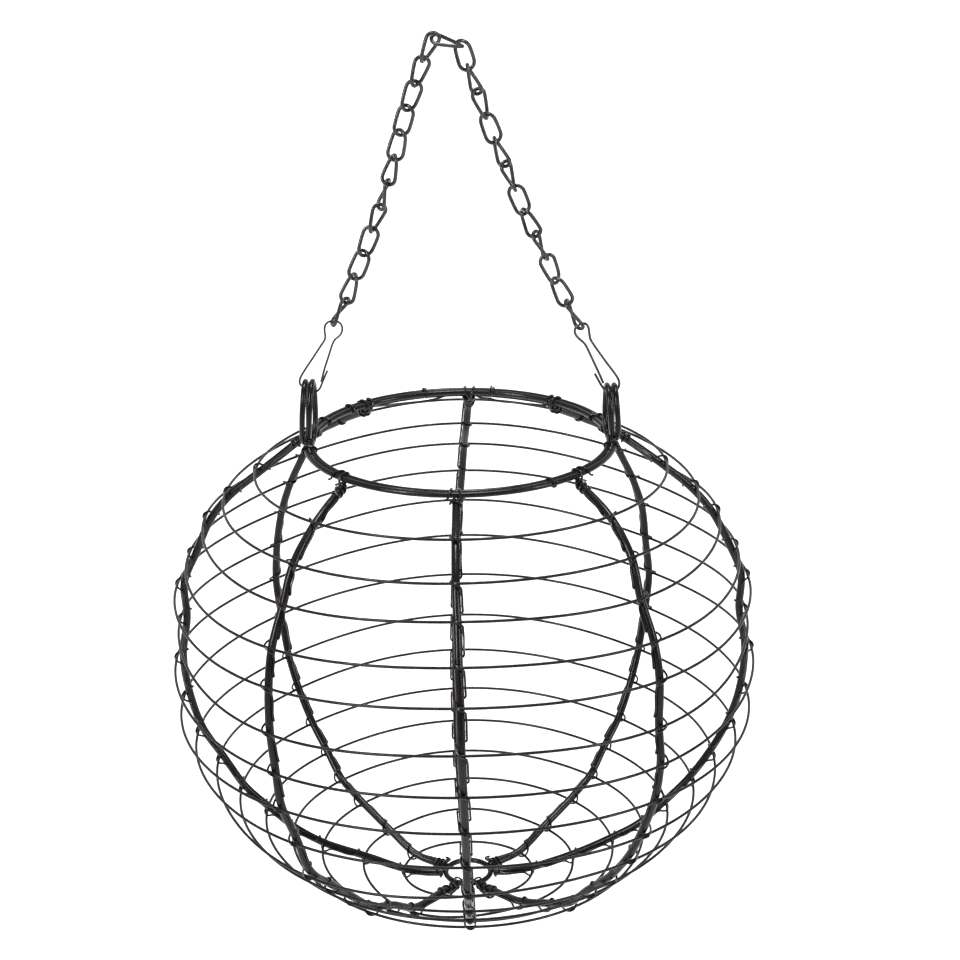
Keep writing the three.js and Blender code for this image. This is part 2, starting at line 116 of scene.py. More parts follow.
RING_Z = [
    [-216.342, 0.313, -2.018, -1.994, -0.216, 0.135, -1.446, 0.343, 0.022], [-229.265, 0.074, -0.031, -2.799, -0.16, -0.025, -1.407, 0.553, 0.215],
    [-245.076, -0.098, -0.246, -1.751, -0.085, -0.013, -0.595, 1.551, 0.072], [-263.223, 0.091, 0.157, -2.393, -0.229, 0.118, -0.824, 1.496, 0.042],
    [-280.999, 0.125, -0.194, -2.18, -0.202, -0.037, -0.811, 1.748, 0.068], [-302.01, 0.148, 0.878, -1.515, 0.308, 0.049, -0.235, 2.755, 0.238],
    [-323.086, 0.712, 0.444, -1.131, -0.435, 0.074, -0.659, 2.128, -0.016], [-344.629, 0.139, -0.308, -1.606, 0.023, -0.125, -0.158, 0.647, 0.058],
    [-366.94, 0.151, -0.553, -0.813, 0.149, 0.015, -0.769, 1.22, -0.01], [-385.226, 0.042, 0.359, -0.178, -0.294, -1.101, 0.185, 1.114, 1],
    [-402.322, 0.415, -0.438, 0.469, -0.271, 0.051, -0.122, 0.81, -0.105], [-415.718, 0.014, -0.372, 0.404, 0.116, -0.1, 0.148, 0.591, 0.089],
    [-428.148, 0.065, -0.192, 0.625, 0.049, 0.044, 0.725, 0.599, 0.015], [-436.545, 0.007, -0.428, 0.225, -0.012, 0.186, 1.099, 0.169, -0.043],
    [-445.885, 0.01, 0.392, 0.359, -0.193, -0.547, 1.117, 0.574, 0.321], [-453.2, 0, 0, 0, 0, 0, 0, 0, 0],
]
RIB_ANGLES = {
    "right": [5, 4.5, 4, 3.5, 3, 2.5, 2, 1.8, 1.7, 1.5, 1.2, 0.8, 0.5, 0.2, -0.2, -0.5],
    "back_right": [50.2, 48.9, 47.8, 47, 46.4, 45.9, 45.4, 44.9, 44.4, 43.6, 42.6, 41.4, 39.7, 37.7, 35.1, 32.1],
    "back": [87.4, 88.2, 89, 89.7, 90.3, 90.9, 91.5, 92, 92.4, 92.8, 93.1, 93.3, 93.5, 93.6, 93.7, 93.6],
    "back_left": [130.6, 132.2, 133.4, 134.2, 134.9, 135.3, 135.7, 136.1, 136.6, 137.2, 138.2, 139.5, 141.3, 143.6, 146.5, 150.2],
    "left": [175, 175.5, 176, 176.5, 177, 177.5, 178, 178.2, 178.3, 178.5, 178.8, 179.2, 179.5, 179.8, 180.2, 180.5],
    "front_left": [226.8, 228.4, 229.2, 230, 230.7, 231.3, 232, 232.7, 233.4, 234.2, 235.1, 236.1, 237.3, 238.6, 240.1, 241.9],
    "front": [268.7, 268.9, 269.2, 269.4, 269.6, 269.7, 269.9, 270.1, 270.2, 270.3, 270.5, 270.6, 270.8, 270.9, 271.1, 271.2],
    "front_right": [314.6, 312.4, 311.1, 310.3, 309.8, 309.4, 309.2, 309, 308.8, 308.3, 307.6, 306.5, 305, 302.9, 300.1, 296.7],
}

RIB_NAMES = ["right", "back_right", "back", "back_left", "left", "front_left", "front", "front_right"]
X, Y, Z = np.eye(3)


# ---------------------------------------------------------------- curves
def unit(v):
    v = np.asarray(v, float)
    return v / np.linalg.norm(v, axis=-1, keepdims=True)


def spline(points, step, closed=False):
    """A smooth curve through the points, resampled evenly about every step millimetres."""
    p = np.asarray(points, float)
    n = len(p)
    if closed:
        q = np.vstack([p[-1], p, p[:2]])
        spans = n
    else:
        q = np.vstack([2 * p[0] - p[1], p, 2 * p[-1] - p[-2]])
        spans = n - 1
    out = []
    for i in range(spans):
        a, b, c, d = q[i : i + 4]
        ta = max(np.linalg.norm(b - a), 1e-6) ** 0.5
        tb = ta + max(np.linalg.norm(c - b), 1e-6) ** 0.5
        tc = tb + max(np.linalg.norm(d - c), 1e-6) ** 0.5
        m = max(4, int(np.linalg.norm(c - b) / step * 2) + 1)
        t = np.linspace(ta, tb, m, endpoint=False)[:, None]
        a1 = (ta - t) / ta * a + t / ta * b
        a2 = (tb - t) / (tb - ta) * b + (t - ta) / (tb - ta) * c
        a3 = (tc - t) / (tc - tb) * c + (t - tb) / (tc - tb) * d
        b1 = (tb - t) / tb * a1 + t / tb * a2
        b2 = (tc - t) / (tc - ta) * a2 + (t - ta) / (tc - ta) * a3
        out.append((tb - t) / (tb - ta) * b1 + (t - ta) / (tb - ta) * b2)
    out = np.vstack(out + [p[:1] if closed else p[-1:]])
    length = np.concatenate([[0], np.cumsum(np.linalg.norm(np.diff(out, axis=0), axis=1))])
    k = max(4, int(round(length[-1] / step)))
    at = np.linspace(0, length[-1], k + 1)
    if closed:
        at = at[:-1]
    return np.stack([np.interp(at, length, out[:, j]) for j in range(3)], 1)


def transport(p, closed):
    """Tangents and a frame carried along the curve without needless twist."""
    if closed:
        t = unit(np.roll(p, -1, 0) - np.roll(p, 1, 0))
    else:
        t = unit(np.gradient(p, axis=0))
    n = len(p)
    u = np.zeros_like(p)
    first = Z if abs(t[0] @ Z) < 0.8 else X
    u[0] = unit(first - (first @ t[0]) * t[0])
    for i in range(1, n):
        v = u[i - 1] - (u[i - 1] @ t[i]) * t[i]
        u[i] = unit(v)
    if closed:
        v = unit(u[-1] - (u[-1] @ t[0]) * t[0])
        turn = math.atan2(np.cross(v, u[0]) @ t[0], v @ u[0])
        for i in range(n):
            a = turn * i / n
            w = np.cross(t[i], u[i])
            u[i] = math.cos(a) * u[i] + math.sin(a) * w
    return t, u, np.cross(t, u)


class Solid:
    """Vertices and faces gathered from several swept wires."""

    def __init__(self):
        self.v, self.f, self.n = [], [], 0

    def wire(self, points, diameter, sides=12, closed=False, seed=1, rough=0.012, swell=None, ends="cut"):
        """A drawn wire along the points: its section breathes a little, as a dipped wire's does."""
        p = np.asarray(points, float)
        rng = np.random.default_rng(seed)
        n = len(p)
        t, u, w = transport(p, closed)
        d = np.linalg.norm(np.diff(p, axis=0), axis=1)
        s = np.concatenate([[0], np.cumsum(d)])
        total = s[-1] + (np.linalg.norm(p[0] - p[-1]) if closed else 0)
        th = np.arange(sides) / sides * 2 * math.pi
        r = np.ones((n, sides))
        for _ in range(5):
            waves = max(1, round(total / rng.uniform(4, 26)))
            r += rough * rng.uniform(0.3, 1) * np.cos(
                2 * math.pi * waves * s[:, None] / total + rng.integers(0, 4) * th[None] + rng.uniform(0, 6.28)
            )
        if swell is not None:
            r *= swell(s, total)[:, None]
        r *= diameter / 2
        ring = p[:, None] + r[..., None] * (
            np.cos(th)[None, :, None] * u[:, None] + np.sin(th)[None, :, None] * w[:, None]
        )
        rings = list(ring)
        if not closed:
            for which in (0, -1):
                sign = -1 if which == 0 else 1
                levels = [(0.16, 0.86)] if ends == "cut" else [(0.5, 0.85), (0.85, 0.5), (0.97, 0.2)]
                for along, scale in levels:
                    c = p[which] + sign * t[which] * along * diameter / 2
                    extra = c + scale * (ring[which] - p[which])
                    rings = [extra] + rings if which == 0 else rings + [extra]
        base, m = self.n, len(rings)
        self.v.append(np.vstack(rings))
        for i in range(m if closed else m - 1):
            a, b = base + i * sides, base + ((i + 1) % m) * sides
            for j in range(sides):
                k = (j + 1) % sides
                self.f.append((a + j, b + j, b + k, a + k))
        self.n += m * sides
        if not closed:
            self.f.append(tuple(base + j for j in range(sides)))
            self.f.append(tuple(base + (m - 1) * sides + j for j in reversed(range(sides))))
        return self

    def make(self, name, material, body, nodes=(), slot=None):
        v = np.vstack(self.v) * MM
        mesh = bpy.data.meshes.new(name)
        mesh.from_pydata(v.tolist(), [], self.f)
        bm = bmesh.new()
        bm.from_mesh(mesh)
        bmesh.ops.recalc_face_normals(bm, faces=bm.faces)
        bm.to_mesh(mesh)
        bm.free()
        mesh.polygons.foreach_set("use_smooth", [True] * len(mesh.polygons))
        mesh.set_sharp_from_angle(angle=math.radians(38))
        mesh.update()
        mesh.materials.append(material)
        o = bpy.data.objects.new(name, mesh)
        bpy.context.scene.collection.objects.link(o)
        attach(o, body)
        if nodes:
            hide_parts(*nodes)
        return o


# ---------------------------------------------------------------- materials
def painted(name, dark, light, rough, specular, metallic, coat=0.0, coat_rough=0.25, bump=0.25, grain=2600.0, scuff=0.0, scuff_colour=(0.2, 0.19, 0.18)):
    """Dipped satin paint on drawn wire: two close tones in soft patches, a fine orange-peel bump and rare rubbed spots.
    """
    m = bpy.data.materials.new(name)
    m.use_nodes = True
    nt = m.node_tree
    nt.nodes.clear()
    add = nt.nodes.new
    out = add("ShaderNodeOutputMaterial")
    s = add("ShaderNodeBsdfPrincipled")
    nt.links.new(s.outputs["BSDF"], out.inputs["Surface"])
    s.inputs["Metallic"].default_value = metallic
    s.inputs["Specular IOR Level"].default_value = specular
    s.inputs["Coat Weight"].default_value = coat
    s.inputs["Coat Roughness"].default_value = coat_rough
    at = add("ShaderNodeTexCoord")

    def noise(scale, detail, roughness=0.55, distortion=0.0):
        n = add("ShaderNodeTexNoise")
        n.inputs["Scale"].default_value = scale
        n.inputs["Detail"].default_value = detail
        n.inputs["Roughness"].default_value = roughness
        n.inputs["Distortion"].default_value = distortion
        nt.links.new(at.outputs["Object"], n.inputs["Vector"])
        return n.outputs["Fac"]

    def remap(value, a, b, c, d):
        n = add("ShaderNodeMapRange")
        n.inputs["From Min"].default_value = a
        n.inputs["From Max"].default_value = b
        n.inputs["To Min"].default_value = c
        n.inputs["To Max"].default_value = d
        nt.links.new(value, n.inputs["Value"])
        return n.outputs["Result"]

    def blend(fac, a, b):
        n = add("ShaderNodeMix")
        n.data_type = "RGBA"
        nt.links.new(fac, n.inputs["Factor"])
        for value, slot in ((a, 6), (b, 7)):
            if isinstance(value, tuple):
                n.inputs[slot].default_value = (*value, 1)
            else:
                nt.links.new(value, n.inputs[slot])
        return n.outputs[2]

    patches = noise(70.0, 4.0, 0.6)
    speckle = noise(900.0, 3.0)
    colour = blend(remap(patches, 0.35, 0.68, 0, 1), dark, light)
    colour = blend(remap(speckle, 0.55, 0.8, 0, 0.35), colour, tuple(min(1, 1.9 * c) for c in light))
    if scuff > 0:
        rubbed = remap(noise(260.0, 6.0, 0.65, 0.4), 0.73 - 0.06 * scuff, 0.79 - 0.06 * scuff, 0, 0.8)
        colour = blend(rubbed, colour, scuff_colour)
    nt.links.new(colour, s.inputs["Base Color"])
    nt.links.new(remap(noise(330.0, 3.0), 0.3, 0.7, rough - 0.07, rough + 0.09), s.inputs["Roughness"])
    fine = add("ShaderNodeBump")
    fine.inputs["Strength"].default_value = bump
    fine.inputs["Distance"].default_value = 0.00006
    nt.links.new(noise(grain, 2.0), fine.inputs["Height"])
    broad = add("ShaderNodeBump")
    broad.inputs["Strength"].default_value = bump
    broad.inputs["Distance"].default_value = 0.00022
    nt.links.new(noise(420.0, 2.0), broad.inputs["Height"])
    nt.links.new(fine.outputs["Normal"], broad.inputs["Normal"])
    nt.links.new(broad.outputs["Normal"], s.inputs["Normal"])
    return m


chain_paint = painted("chain_satin_grey", (0.026, 0.025, 0.026), (0.056, 0.054, 0.055), 0.25, 0.5, 0.35, coat=0.18, bump=0.1, scuff=0.5, scuff_colour=(0.20, 0.19, 0.185))
hook_paint = painted("hook_satin_grey", (0.028, 0.027, 0.028), (0.060, 0.058, 0.059), 0.25, 0.5, 0.35, coat=0.18, bump=0.1, scuff=0.4, scuff_colour=(0.20, 0.19, 0.185))
rim_paint = painted("rim_satin_black", (0.0048, 0.0036, 0.0033), (0.0125, 0.0095, 0.0086), 0.24, 0.24, 0.0, coat=0.1, bump=0.10, scuff=0.3, scuff_colour=(0.045, 0.034, 0.028))
rib_paint = painted("rib_satin_black", (0.0044, 0.0032, 0.0029), (0.0120, 0.0088, 0.0078), 0.24, 0.24, 0.0, coat=0.1, bump=0.12, scuff=0.35, scuff_colour=(0.046, 0.033, 0.026))
ring_paint = painted("ring_satin_black", (0.0075, 0.0060, 0.0056), (0.0190, 0.0152, 0.0142), 0.30, 0.24, 0.0, coat=0.05, bump=0.12, scuff=0.25, scuff_colour=(0.045, 0.034, 0.028))
lash_paint = painted("tie_wire_black", (0.0045, 0.0038, 0.0036), (0.0115, 0.0098, 0.0092), 0.27, 0.3, 0.0, coat=0.1, bump=0.1, scuff=0.2, scuff_colour=(0.045, 0.038, 0.032))

body_of = {n: b for b, ns in frame["record"]["behaviour"]["bodies"].items() for n in ns}


# ---------------------------------------------------------------- chain
def link_line(top, bottom, turn, twist, samples=76):
    along = bottom - top
    half = np.linalg.norm(along) / 2
    along = unit(along)
    centre = (top + bottom) / 2
    side = np.cross(Y, along)
    b = LINK_WIDTH / 2
    straight = half - b
    lengths = [math.pi * b, 2 * straight, math.pi * b, 2 * straight]
    out = []
    for k in range(samples):
        d = k / samples * sum(lengths)
        if d < lengths[0]:
            a = -math.pi / 2 + d / b
            s, w = straight + b * math.cos(a), b * math.sin(a)
        elif d < lengths[0] + lengths[1]:
            s, w = straight - (d - lengths[0]), b
        elif d < sum(lengths[:3]):
            a = math.pi / 2 + (d - lengths[0] - lengths[1]) / b
            s, w = -straight + b * math.cos(a), b * math.sin(a)
        else:
            s, w = -straight + (d - sum(lengths[:3])), -b
        a = math.radians(turn - (twist / 2) * (s / half))
        out.append(centre + along * s + side * w * math.cos(a) + Y * w * math.sin(a))
    return np.array(out), lengths


def make_link(node, top, bottom, turn, twist, seed):
    line, lengths = link_line(top, bottom, turn, twist)
    seam = lengths[0] + lengths[1] * (0.5 + 0.06 * ((seed * 37) % 5 - 2))

    def butt(s, total):
        # the bent wire's two ends meet here, with a fine line and a little flash beside it
        d = s - seam
        return 1 - 0.13 * np.exp(-((d / 0.25) ** 2)) + 0.035 * np.exp(-((d / 0.9) ** 2))

    fine = np.vstack([line])
    Solid().wire(fine, CHAIN_WIRE, 14, True, seed, 0.008, butt).make(
        node + "_wire", chain_paint, body_of[node], [node], "chain_black"
    )


def flat(p):
    return np.array([p[0], 0.0, p[1]])


reach = (CHAIN_WIRE + LINK_PLAY) / 2
seed = 10
for side_name, bearing, turns in (("left", LEFT_BEARING, LEFT_TURN), ("right", RIGHT_BEARING, RIGHT_TURN)):
    for i, turn in enumerate(turns):
        a, b = flat(bearing[i]), flat(bearing[i + 1])
        e = unit(b - a)
        seed += 1
        make_link(f"chain_link_{side_name}_{i + 1}", a - e * reach, b + e * reach, turn, LINK_TWIST, seed)
apex_ends = [flat(b[0]) + reach * unit(flat(b[1]) - flat(b[0])) for b in (LEFT_BEARING, RIGHT_BEARING)]
e = unit(apex_ends[1] - apex_ends[0])
c = (apex_ends[0] + apex_ends[1]) / 2 + np.array(APEX_SHIFT)
make_link("chain_link_apex", c - e * APEX_LINK_LENGTH / 2, c + e * APEX_LINK_LENGTH / 2, APEX_TURN, APEX_TWIST, 9)


# ---------------------------------------------------------------- snap hooks
def hook_line(outline):
    n = len(outline) - 1
    pts = []
    for i, (x, z) in enumerate(outline):
        near = max(0, 1 - min(i, n - i) / 4)
        pts.append((x, (-1 if i < n / 2 else 1) * LATCH_OFFSET * near, z))
    return spline(pts, 0.55)


Solid().wire(hook_line(LEFT_HOOK), LEFT_HOOK_WIRE, 14, False, 71, 0.01).make("left_snap_hook_wire", hook_paint, body_of["left_snap_hook"], ["left_snap_hook"], "hook_wire")
Solid().wire(hook_line(RIGHT_HOOK), RIGHT_HOOK_WIRE, 14, False, 72, 0.01).make("right_snap_hook_wire", hook_paint, body_of["right_snap_hook"], ["right_snap_hook"], "hook_wire")


# ---------------------------------------------------------------- rim
def rim_point(angle, out, up):
    c, s = math.cos(angle), math.sin(angle)
    return np.array([AXIS_X + (RIM_RADIUS_X + out) * c, (RIM_RADIUS_Y + out) * s, RIM_Z + up])


def eye_line(side, height, shift, steps=48):
    """A standing coil of two turns that starts and ends on the rim."""
    pts = []
    for i in range(steps + 1):
        t = i / steps * 4 * math.pi
        coil = EYE_PITCH * (1 - t / (2 * math.pi))
        blend = min(1, math.sin(min(t, 4 * math.pi - t, math.pi / 2)))
        out = blend * coil + (1 - blend) * float(np.sign(2 * math.pi - t)) * RIM_SPACING
        lean = (-0.35 - shift / 2) * (1 - math.cos(t))
        lift = EYE_LIFT * math.cos(t) ** 2 if abs(t - 2 * math.pi) < math.pi / 2 else 0
        pts.append(
            (AXIS_X + side * (RIM_RADIUS_X + out + lean), (-EYE_WIDTH / 2) * math.sin(t), RIM_Z + (height / 2) * (1 - math.cos(t)) + lift)
        )
    return pts


EYE_REACH = 0.075


def arc(a, b, out, steps=60):
    return [rim_point(a + (b - a) * i / steps, out, 0) for i in range(steps + 1)]


def weld(*centres, width=1.6, height=0.05):
    """A small swelling where two wire ends are joined."""

    def swell(s, total):
        r = np.ones_like(s)
        for c in centres:
            d = s - c * total
            r = r + height * np.exp(-((d / width) ** 2)) - 0.09 * np.exp(-((d / 0.28) ** 2))
        return r

    return swell


hoop_line = spline(
    arc(EYE_REACH, math.pi - EYE_REACH, RIM_SPACING)
    + eye_line(-1, LEFT_EYE_HEIGHT, LEFT_EYE_SHIFT)
    + arc(math.pi + EYE_REACH, 2 * math.pi - EYE_REACH, -RIM_SPACING)
    + eye_line(1, RIGHT_EYE_HEIGHT, RIGHT_EYE_SHIFT)[::-1],
    1.3,
    True,
)
Solid().wire(hoop_line, RIM_ROD, 18, True, 81, 0.009, weld(0.31)).make("rim_hoop_rod", rim_paint, body_of["rim_hoop"], ["rim_hoop"], "rim_rod")
pts = []
for i in range(260):
    u = i / 260 * 2 * math.pi
    a = u - 0.4 * math.sin(2 * u)
    y = RIM_RADIUS_Y * math.sin(a)
    near = max(0, 1 - abs(y) / COMPANION_DIP_REACH)
    dip = near * near * (3 - 2 * near)
    across = min(max(-y / 7, -1), 1)
    pts.append(rim_point(a, RIM_SPACING * math.sin(across * math.pi / 2), -COMPANION_DIP * dip))
Solid().wire(spline(pts, 1.4, True), RIM_ROD, 18, True, 82, 0.009, weld(0.36)).make("rim_companion_rod", rim_paint, body_of["rim_companion_hoop"], ["rim_companion_hoop"], "rim_rod")


# ---------------------------------------------------------------- ring wires
def wave(c, a):
    return c[0] + sum(c[2 * k - 1] * np.cos(k * a) + c[2 * k] * np.sin(k * a) for k in range(1, 5))


def on_ring(level, degrees):
    a = np.radians(degrees)
    r = wave(RING_RADIUS[level], a)
    return np.stack([AXIS_X + r * np.cos(a), r * np.sin(a), wave(RING_Z[level], a) + 0 * a], -1)


for level in range(16):
    line = on_ring(level, np.linspace(0, 360, 240, endpoint=False))
    Solid().wire(spline(line, 1.9, True), RING_WIRE, 10, True, 100 + level, 0.012, weld((0.19 + 0.377 * level) % 1, width=1.2)).make(
        f"ring_wire_{level + 1}_hoop", ring_paint, body_of[f"ring_wire_{level + 1}"], [f"ring_wire_{level + 1}"], "ring_wire"
    )


# ---------------------------------------------------------------- ribs
def rib_points(name):
    """The rib's own points, and the unit vectors from it out to the ring wires."""
    angles = np.array(RIB_ANGLES[name], float)
    outer = np.array([on_ring(k, angles[k]) for k in range(16)])
    inset = (RING_WIRE + RIB_ROD) / 2 + GAP
    pts, outs = [], []
    for k in range(16):
        along = outer[min(k + 1, 15)] - outer[max(k - 1, 0)]
        around = on_ring(k, angles[k] + 2) - on_ring(k, angles[k] - 2)
        inward = unit(np.cross(along, around))
        if inward @ (np.array([AXIS_X, 0, (HUB_Z + RIM_Z) / 2]) - outer[k]) < 0:
            inward = -inward
        pts.append(outer[k] + inward * inset)
        outs.append(-inward)
    side = name in ("left", "right")
    top = math.radians(RIB_TOP_ANGLES.get(name, angles[0] + (angles[0] - angles[1]) * 0.5))
    radius = SIDE_RIB_TOP_RADIUS if side else RIB_TOP_RADIUS - (RIM_RADIUS_X - RIM_RADIUS_Y) * abs(math.sin(top))
    pts.insert(0, np.array([AXIS_X + radius * math.cos(top), radius * math.sin(top), SIDE_RIB_TOP_Z if side else RIB_TOP_Z]))
    outs.insert(0, outs[0])
    foot = math.atan2(pts[-1][1], pts[-1][0] - AXIS_X)
    fr = HUB_RADIUS + HUB_ROD / 2 + GAP + 0.1
    for r, up in ((fr + 8, 0.1), (fr, 0)):
        pts.append(np.array([AXIS_X + r * math.cos(foot), r * math.sin(foot), HUB_Z + up]))
        outs.append(-Z)
    return np.array(pts), np.array(outs), top


class Rib:
    """A rib's centre-line with a frame on it: outward, and to the right as seen from outside with the top up."""

    def __init__(self, name):
        pts, outs, self.top = rib_points(name)
        self.line = spline(pts, 1.0)
        self.s = np.concatenate([[0], np.cumsum(np.linalg.norm(np.diff(self.line, axis=0), axis=1))])
        self.length = self.s[-1]
        self.t = unit(np.gradient(self.line, axis=0))
        at = [self.s[np.argmin(np.linalg.norm(self.line - p, axis=1))] for p in pts]
        self.cross = at[1:17]
        o = np.stack([np.interp(self.s, at, outs[:, k]) for k in range(3)], 1)
        o -= (o * self.t).sum(1)[:, None] * self.t
        self.o = unit(o)
        self.r = np.cross(self.o, self.t)  # right-hand side, seen from outside looking in, top up

    def at(self, s, phi, rho):
        """The point at length s, turned phi degrees from outward towards the right, rho from the centre."""
        f = [np.interp(s, self.s, a[:, k]) for a in (self.line, self.o, self.r) for k in range(3)]
        c, o, r = np.array(f[:3]), np.array(f[3:6]), np.array(f[6:])
        return c + rho * (math.cos(math.radians(phi)) * o + math.sin(math.radians(phi)) * r)


ribs = {n: Rib(n) for n in RIB_NAMES}
for k, n in enumerate(RIB_NAMES):
    Solid().wire(ribs[n].line, RIB_ROD, 18, False, 130 + k, 0.008).make(f"rib_{n}_rod", rib_paint, body_of[f"rib_{n}"], [f"rib_{n}"], "rib_rod")

a = np.linspace(0, 2 * math.pi, 72, endpoint=False)
hub_line = np.stack([AXIS_X + HUB_RADIUS * np.cos(a), HUB_RADIUS * np.sin(a), HUB_Z + 0 * a], 1)
Solid().wire(hub_line, HUB_ROD, 18, True, 140, 0.01, weld(0.62, width=1.8, height=0.06)).make("hub_ring_rod", rib_paint, body_of["hub_ring"], ["hub_ring"], "rib_rod")

# ---------------------------------------------------------------- lashing: one tie wire to each rib, wound round it at every ring
BODY = "basket"
TIGHT = RIB_ROD / 2 + LASH / 2
OVER = (RING_WIRE + RIB_ROD) / 2 + GAP + RING_WIRE / 2 + LASH / 2 + 0.05
# hand: +1 the strand runs down the right of the rib, seen from outside; -1 down the left
HAND = {"front": 1, "front_left": 1, "front_right": -1, "left": 1, "right": -1, "back_left": -1, "back_right": 1, "back": 1}


def lash(name, hand, seed):
    rib = ribs[name]
    rng = np.random.default_rng(seed)
    pts = []
    top = rib.top
    side = name in ("left", "right")

    def rim(r, t, z):
        pts.append(rim_point(top + hand * t / 76, r, z))

    def put(s, phi, rho):
        pts.append(rib.at(min(max(s, 0), rib.length), hand * phi, rho))

    if not side:
        j = lambda a: rng.uniform(-a, a)
        for r, t, z in (
            (4.3, -5.6 + j(0.6), -1.8), (3.95, -4.5, -1.7), (3.85, -3.3, -0.5), (2.7, -2.9, 1.65), (0, -2.6, 2.1), (-2.75, -2.3, 1.6), (-3.75, -1.9, -0.3),
            (-3.0, -1.2, -2.9), (-1.2, 0.4, -4.9), (0.6, 2.5, -4.2), (3.0, 3.0, -2.9), (4.15, 2.5, -0.9), (3.1, 1.9, 1.5), (0, 1.5, 2.15), (-2.8, 1.2, 1.6), (-3.75, 0.6, -0.4),
            (-2.8, -0.9, -3.2), (-0.6, -2.6, -4.4), (2.2, -3.1, -4.6),
        ):
            rim(r, t, z)
        s = 1.0
        turns = [(-60, 0.0), (0, 0.6), (90, 1.3), (180, 2.0), (270, 2.7), (360, 3.5), (450, 4.3), (540, 5.1), (630, 5.9), (720, 6.9), (800, 8.0)]
        start = 720
        if name == "front":
            turns, start = [(-60, 0.0), (0, 0.8), (50, 2.2), (78, 4.6)], 0
        for phi, ds in turns:
            put(s + ds, phi, TIGHT + 0.05 + rng.uniform(0, 0.12))
    else:
        s = 1.4
        start = 720
        put(0.4, 200, TIGHT + 1.6)
        for phi, ds in [(270, 0.2), (360, 0.9), (450, 1.6), (540, 2.2), (630, 2.8), (720, 3.5), (800, 4.3)]:
            put(s + ds, phi, TIGHT + 0.05 + rng.uniform(0, 0.12))
    base = start
    previous = rib.s[0] + 13
    for k, s in enumerate(rib.cross):
        after = rib.cross[k + 1] if k < 15 else rib.length
        tight = min(1.0, (s - (rib.cross[k - 1] if k else 6)) / 15)
        q = min(1.0, (after - s) / 15)
        big = rng.uniform(0, 1)
        leave = 5.2 * tight + rng.uniform(-0.6, 0.6)
        slack = 0.1 if name in ("back", "front") else 0.3
        bulge = TIGHT + slack * rng.uniform(0.1, 0.8)
        out = TIGHT + slack * (rng.uniform(1.0, 1.8) if big > 0.6 else rng.uniform(0.3, 0.8))
        # down the side, in behind the rib, out on the other side above the ring, over the ring, back to the side
        put(s - leave - 3.2 * tight, base + 88 + rng.uniform(-8, 8), bulge)
        put(s - leave, base + 105, TIGHT + 0.1)
        put(s - leave + 0.8, base + 180, TIGHT)
        put(s - leave + 1.5 * tight, base + 245, TIGHT + 0.15)
        put(s - leave + 2.6 * tight, base + 278 + rng.uniform(-6, 10), out)
        put(s - 1.25, base + 322, (out + OVER) / 2)
        put(s + 0.1, base + 357, OVER + 0.03)
        put(s + 1.7 * q, base + 398, OVER - 0.35)
        put(s + 3.3 * q, base + 432, TIGHT + slack * rng.uniform(0.3, 0.7))
        put(s + (5.6 + rng.uniform(-0.6, 0.8)) * q, base + 447, TIGHT + slack * rng.uniform(0.3, 1.0))
        base += 360
    # the tail: round the rib's foot and off in a curl
    f = rib.length
    for phi, ds in ((110, -3.6), (190, -2.9), (270, -2.2), (350, -1.4), (425, -0.6)):
        put(f + ds, base + phi, TIGHT + 0.1)
    end = rib.at(f, 0, 0)
    axis = unit(np.array([AXIS_X, 0, HUB_Z]) - end)
    across = np.cross(Z, axis) * hand
    for inward, side_way, up in ((0.6, 1.2, 2.9), (1.6, -0.6, 3.2), (1.2, -2.6, 3.0), (-0.6, -3.6, 2.6), (-2.0, -3.4, 2.7)):
        pts.append(end + axis * inward + across * side_way + Z * up * rng.uniform(0.9, 1.05))
    line = spline(pts, 0.62)
    for _ in range(3):
        line[1:-1] = (line[:-2] + 2 * line[1:-1] + line[2:]) / 4
    Solid().wire(line, LASH, 8, False, seed, 0.02).make(f"lashing_{name}", lash_paint, BODY, (), "ring_wire")


for k, n in enumerate(RIB_NAMES):
    lash(n, HAND[n], 300 + k)


# two long cut ends, each looped out from a front rib's foot and back onto the hub ring
curls = Solid()
for k, (name, hand, loop) in enumerate(
    (("front_left", 1, ((-8.0, -25.4, -449.6), (-4.8, -25.1, -449.3), (-3.3, -21.1, -449.6))), ("front_right", -1, ((12.7, -25.2, -449.6), (9.5, -24.5, -449.3), (7.9, -19.5, -449.6))))
):
    rib = ribs[name]
    run = [rib.at(rib.length - 12.5 + 0.8 * i, hand * phi, TIGHT) for i, phi in enumerate((-70, -130, 170, 110))]
    run += [np.array(q) for q in loop]
    on = math.atan2(loop[-1][1], loop[-1][0] - AXIS_X)
    for up, inward in ((HUB_ROD / 2 + LASH / 2 + 0.1, 0.0), (0.4, -HUB_ROD / 2 - LASH / 2 - 0.1)):
        run.append(np.array([AXIS_X + (HUB_RADIUS + inward) * math.cos(on), (HUB_RADIUS + inward) * math.sin(on), HUB_Z + up]))
    line = spline(run, 0.6)
    for _ in range(2):
        line[1:-1] = (line[:-2] + 2 * line[1:-1] + line[2:]) / 4
    curls.wire(line, LASH, 8, False, 540 + k, 0.02)
# the back ribs' wires end in a small tight coil on top of the rib's foot
for k, (name, hand) in enumerate((("back_left", 1), ("back_right", -1))):
    rib = ribs[name]
    run = [rib.at(rib.length - 6.5 + 0.28 * i, hand * 40 * i, TIGHT + 0.12 + (0.5 if i > 22 else 0)) for i in range(25)]
    line = spline(run, 0.6)
    curls.wire(line, LASH, 8, False, 545 + k, 0.02)
curls.make("hub_curls", lash_paint, BODY, (), "ring_wire")


